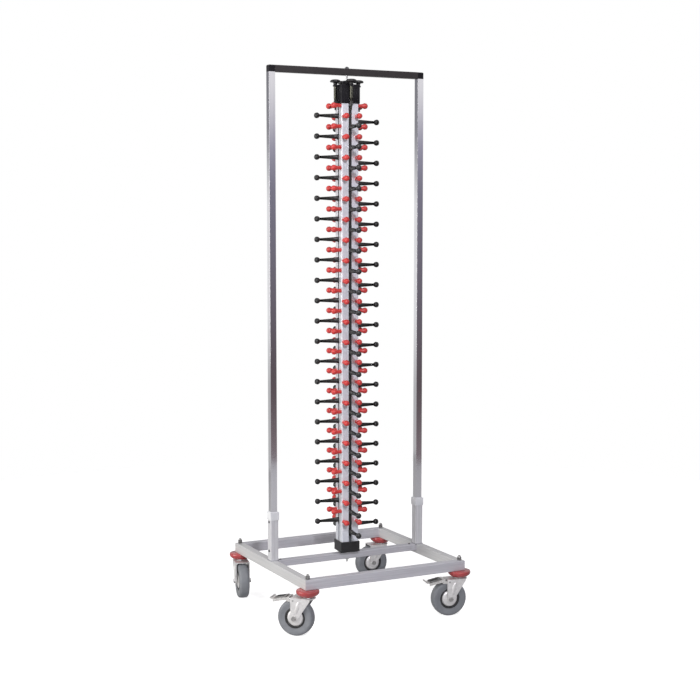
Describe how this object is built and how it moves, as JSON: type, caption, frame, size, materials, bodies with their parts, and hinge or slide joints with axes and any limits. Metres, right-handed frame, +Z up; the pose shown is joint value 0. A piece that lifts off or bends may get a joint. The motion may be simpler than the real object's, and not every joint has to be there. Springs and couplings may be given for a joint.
{
  "type": "plate rack trolley",
  "caption": "Mobile plate rack: a square base on swivel casters, a post frame, and a turning column with red pegs and adjustable black arms that hold plates by the rim.",
  "frame": {"origin": "on the floor, on the tie rod's axis in the middle of the base frame", "axes": "+Z is up, X runs along the top bar, -Y is the front with the two braked casters"},
  "size_m": [0.6344, 0.5776, 1.6586],
  "materials": {
    "rail_steel": "satin stainless tube",
    "post_steel": "polished tube",
    "bar_paint": "dark satin coat",
    "collar_plastic": "pale moulded plastic",
    "black_plastic": "black moulded plastic",
    "cap_plastic": "black moulded plastic",
    "aluminium": "bright anodised extrusion",
    "red_plastic": "red moulded plastic",
    "red_bumper": "red moulded plastic",
    "grey_tyre": "grey non-marking rubber",
    "hub_plastic": "pale moulded plastic",
    "grip_rubber": "black rubber",
    "zinc_steel": "zinc plated"
  },
  "bodies": {
    "frame": {"front_rail": "rail_steel", "rear_rail": "rail_steel", "left_rail": "rail_steel", "right_rail": "rail_steel", "cross_rail": "rail_steel", "post_sockets": "rail_steel", "socket_collars": "collar_plastic", "left_post": "post_steel", "right_post": "post_steel", "top_bar": "bar_paint", "bar_corners": "black_plastic", "tie_rod": "zinc_steel", "rod_fittings": "zinc_steel", "caster_nuts": "zinc_steel", "caster_bolts": "zinc_steel", "corner_bumpers": "red_bumper"},
    "column": {"column_extrusions": "aluminium", "base_block": "black_plastic", "top_cap": "cap_plastic", "pegs_left": "red_plastic", "pegs_right": "red_plastic", "pegs_front": "red_plastic", "pegs_back": "red_plastic"},
    "carrier_right": {"carrier_right": "black_plastic", "arms_right": "black_plastic"},
    "knob_right": {"knob_right": "black_plastic", "spindle_right": "zinc_steel"},
    "carrier_back": {"carrier_back": "black_plastic", "arms_back": "black_plastic"},
    "knob_back": {"knob_back": "black_plastic", "spindle_back": "zinc_steel"},
    "carrier_left": {"carrier_left": "black_plastic", "arms_left": "black_plastic"},
    "knob_left": {"knob_left": "black_plastic", "spindle_left": "zinc_steel"},
    "carrier_front": {"carrier_front": "black_plastic", "arms_front": "black_plastic"},
    "knob_front": {"knob_front": "black_plastic", "spindle_front": "zinc_steel"},
    "fork_front_left": {"fork_front_left": "zinc_steel", "axle_front_left": "zinc_steel"},
    "wheel_front_left": {"tyre_front_left": "grey_tyre", "hub_front_left": "hub_plastic"},
    "pedal_front_left": {"brake_pedal_front_left": "zinc_steel", "pedal_grip_front_left": "grip_rubber"},
    "fork_front_right": {"fork_front_right": "zinc_steel", "axle_front_right": "zinc_steel"},
    "wheel_front_right": {"tyre_front_right": "grey_tyre", "hub_front_right": "hub_plastic"},
    "pedal_front_right": {"brake_pedal_front_right": "zinc_steel", "pedal_grip_front_right": "grip_rubber"},
    "fork_rear_left": {"fork_rear_left": "zinc_steel", "axle_rear_left": "zinc_steel"},
    "wheel_rear_left": {"tyre_rear_left": "grey_tyre", "hub_rear_left": "hub_plastic"},
    "fork_rear_right": {"fork_rear_right": "zinc_steel", "axle_rear_right": "zinc_steel"},
    "wheel_rear_right": {"tyre_rear_right": "grey_tyre", "hub_rear_right": "hub_plastic"}
  },
  "joints": [
    {"name": "column_turn", "type": "hinge", "parent": "frame", "child": "column", "pos_m": [0, 0, 0.17], "axis": [0, 0, 1], "continuous": true},
    {"name": "carrier_right_slide", "type": "slide", "parent": "column", "child": "carrier_right", "axis": [0, 0, 1], "range_m": [-0.004, 0.0225]},
    {"name": "knob_right_turn", "type": "hinge", "parent": "column", "child": "knob_right", "pos_m": [0.03724, -0.00346, 1.6], "axis": [0, 0, 1], "continuous": true},
    {"name": "carrier_back_slide", "type": "slide", "parent": "column", "child": "carrier_back", "axis": [0, 0, 1], "range_m": [-0.019, 0.0075]},
    {"name": "knob_back_turn", "type": "hinge", "parent": "column", "child": "knob_back", "pos_m": [0.00346, 0.03724, 1.6], "axis": [0, 0, 1], "continuous": true},
    {"name": "carrier_left_slide", "type": "slide", "parent": "column", "child": "carrier_left", "axis": [0, 0, 1], "range_m": [-0.0205, 0.006]},
    {"name": "knob_left_turn", "type": "hinge", "parent": "column", "child": "knob_left", "pos_m": [-0.03724, 0.00346, 1.6], "axis": [0, 0, 1], "continuous": true},
    {"name": "carrier_front_slide", "type": "slide", "parent": "column", "child": "carrier_front", "axis": [0, 0, 1], "range_m": [-0.019, 0.0075]},
    {"name": "knob_front_turn", "type": "hinge", "parent": "column", "child": "knob_front", "pos_m": [-0.00346, -0.03724, 1.6], "axis": [0, 0, 1], "continuous": true},
    {"name": "swivel_front_left", "type": "hinge", "parent": "frame", "child": "fork_front_left", "pos_m": [-0.2545, -0.2545, 0.11], "axis": [0, 0, 1], "continuous": true},
    {"name": "roll_front_left", "type": "hinge", "parent": "fork_front_left", "child": "wheel_front_left", "pos_m": [-0.27925, -0.22975, 0.054], "axis": [-0.7071, -0.7071, 0], "continuous": true},
    {"name": "brake_front_left", "type": "hinge", "parent": "fork_front_left", "child": "pedal_front_left", "pos_m": [-0.28137, -0.22763, 0.106], "axis": [-0.7071, -0.7071, 0], "range_deg": [0, 16]},
    {"name": "swivel_front_right", "type": "hinge", "parent": "frame", "child": "fork_front_right", "pos_m": [0.2545, -0.2545, 0.11], "axis": [0, 0, 1], "continuous": true},
    {"name": "roll_front_right", "type": "hinge", "parent": "fork_front_right", "child": "wheel_front_right", "pos_m": [0.22003, -0.24842, 0.054], "axis": [-0.1736, -0.9848, 0], "continuous": true},
    {"name": "brake_front_right", "type": "hinge", "parent": "fork_front_right", "child": "pedal_front_right", "pos_m": [0.21708, -0.2479, 0.106], "axis": [-0.1736, -0.9848, 0], "range_deg": [0, 16]},
    {"name": "swivel_rear_left", "type": "hinge", "parent": "frame", "child": "fork_rear_left", "pos_m": [-0.2545, 0.2545, 0.11], "axis": [0, 0, 1], "continuous": true},
    {"name": "roll_rear_left", "type": "hinge", "parent": "fork_rear_left", "child": "wheel_rear_left", "pos_m": [-0.26237, 0.2204, 0.054], "axis": [0.9744, -0.225, 0], "continuous": true},
    {"name": "swivel_rear_right", "type": "hinge", "parent": "frame", "child": "fork_rear_right", "pos_m": [0.2545, 0.2545, 0.11], "axis": [0, 0, 1], "continuous": true},
    {"name": "roll_rear_right", "type": "hinge", "parent": "fork_rear_right", "child": "wheel_rear_right", "pos_m": [0.21959, 0.25694, 0.054], "axis": [-0.0698, -0.9976, 0], "continuous": true}
  ],
  "couplings": [
    {"joint": "knob_right_turn", "follows": "carrier_right_slide", "rad_per_m": -2094.4},
    {"joint": "knob_back_turn", "follows": "carrier_back_slide", "rad_per_m": -2094.4},
    {"joint": "knob_left_turn", "follows": "carrier_left_slide", "rad_per_m": -2094.4},
    {"joint": "knob_front_turn", "follows": "carrier_front_slide", "rad_per_m": -2094.4}
  ]
}
